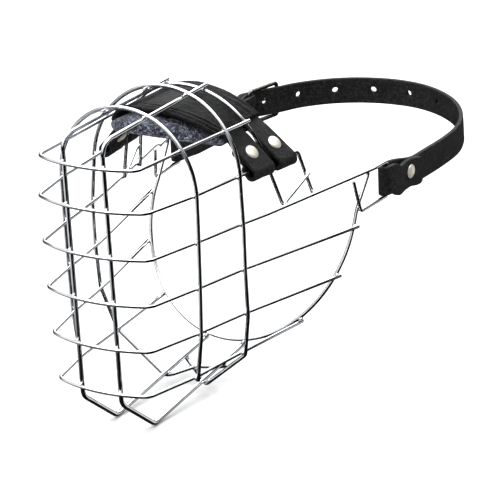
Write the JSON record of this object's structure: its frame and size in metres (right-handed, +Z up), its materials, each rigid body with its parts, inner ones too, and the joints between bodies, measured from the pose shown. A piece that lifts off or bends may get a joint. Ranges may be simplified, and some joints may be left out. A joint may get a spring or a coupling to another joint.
{
  "type": "basket muzzle",
  "caption": "Wire basket muzzle for a large dog, with a felt-lined leather nose saddle and a buckled leather neck strap held on two cheek bars.",
  "frame": {"origin": "midpoint between the two cheek bars that hold the neck strap, in the plane of the basket's back opening", "axes": "+Y from the nose back towards the neck, along the rows of wire; +Z up as worn; +X towards the wearer's left cheek, opposite the buckle"},
  "size_m": [0.1771, 0.4014, 0.2079],
  "materials": {
    "chromed_wire": "bright chrome plating on welded steel wire",
    "black_leather": "smooth black strap leather",
    "saddle_leather": "smooth black leather, stitched along its rolled edge",
    "grey_felt": "pressed wool felt, blue-grey and flecked",
    "satin_nickel": "satin nickel plating",
    "buckle_steel": "nickel plated, lightly polished"
  },
  "bodies": {
    "basket": {"row_wire_1": "chromed_wire", "row_wire_2": "chromed_wire", "row_wire_3": "chromed_wire", "row_wire_4": "chromed_wire", "row_wire_5": "chromed_wire", "row_wire_6": "chromed_wire", "centre_wire_right": "chromed_wire", "centre_wire_left": "chromed_wire", "hoop_front": "chromed_wire", "hoop_middle": "chromed_wire", "hoop_rear": "chromed_wire", "rear_rim": "chromed_wire", "saddle_felt": "grey_felt", "saddle_plate": "saddle_leather", "saddle_edge_roll": "saddle_leather", "saddle_tab_front_right": "black_leather", "saddle_tab_front_left": "black_leather", "saddle_tab_rear_right": "black_leather", "saddle_tab_rear_left": "black_leather", "saddle_rivet_front_right": "satin_nickel", "saddle_rivet_front_left": "satin_nickel", "saddle_rivet_rear_right": "satin_nickel", "saddle_rivet_rear_left": "satin_nickel", "saddle_rivet_front_right_burr": "satin_nickel", "saddle_rivet_front_left_burr": "satin_nickel", "saddle_rivet_rear_right_burr": "satin_nickel", "saddle_rivet_rear_left_burr": "satin_nickel"},
    "neck_strap": {"neck_strap": "black_leather", "buckle_strap": "black_leather", "cheek_rivet_right": "satin_nickel", "cheek_rivet_right_burr": "satin_nickel", "cheek_rivet_left": "satin_nickel", "cheek_rivet_left_burr": "satin_nickel"},
    "buckle": {"buckle_frame": "buckle_steel"},
    "prong": {"buckle_prong": "buckle_steel"},
    "keeper": {"strap_keeper": "black_leather"}
  },
  "joints": [
    {"name": "neck_strap_tilt", "type": "hinge", "parent": "basket", "child": "neck_strap", "pos_m": [0, 0, 0], "axis": [1, 0, 0], "range_deg": [-6, 4]},
    {"name": "buckle_frame_swivel", "type": "hinge", "parent": "neck_strap", "child": "buckle", "pos_m": [-0.0821, 0.092, 0.0018], "axis": [0, 0, 1], "range_deg": [0, 4]},
    {"name": "prong_hinge", "type": "hinge", "parent": "buckle", "child": "prong", "pos_m": [-0.0821, 0.092, 0.0018], "axis": [0, 0, 1], "range_deg": [0, 5]},
    {"name": "keeper_slide", "type": "slide", "parent": "neck_strap", "child": "keeper", "axis": [0, 1, 0], "range_m": [-0.009, 0.006]}
  ]
}
